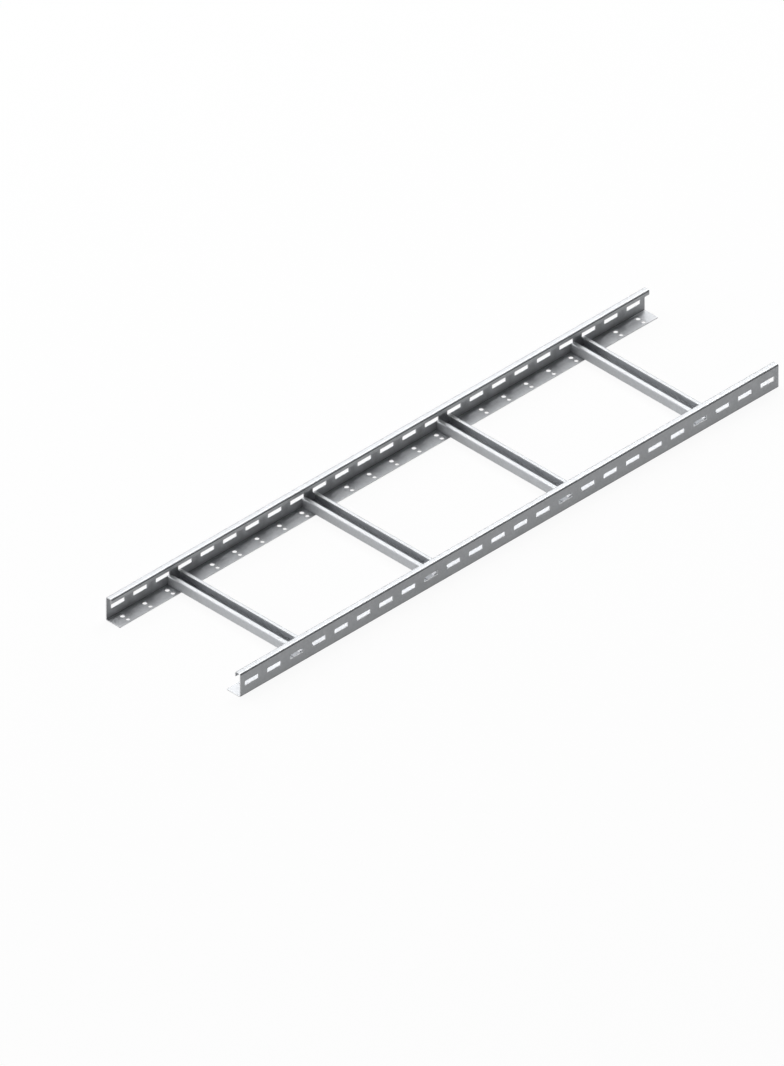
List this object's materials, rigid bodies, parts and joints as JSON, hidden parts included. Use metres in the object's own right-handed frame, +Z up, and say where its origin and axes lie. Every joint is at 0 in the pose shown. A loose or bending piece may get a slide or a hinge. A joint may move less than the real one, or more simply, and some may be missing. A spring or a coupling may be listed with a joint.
{
  "type": "cable ladder",
  "caption": "Ladder-shaped cable support: folded side rails with slotted webs and perforated feet, joined by open-topped channel rungs that carry and clamp cables.",
  "frame": {"origin": "bottom centre: under the middle of the ladder's length and width, on the plane that the rails' feet rest on", "axes": "+X along the side rails, +Y across the ladder from the right-hand rail to the left-hand rail, +Z up out of the cable bed"},
  "size_m": [1.2, 0.3, 0.045],
  "materials": {
    "galvanised_rail": "strip-galvanised steel sheet, matte zinc grey",
    "galvanised_rung": "strip-galvanised steel sheet, matte zinc grey, a little brighter than the rails"
  },
  "bodies": {
    "root": {"side_rail_right": "galvanised_rail", "side_rail_left": "galvanised_rail", "rung_1": "galvanised_rung", "rung_2": "galvanised_rung", "rung_3": "galvanised_rung", "rung_4": "galvanised_rung"}
  },
  "joints": []
}
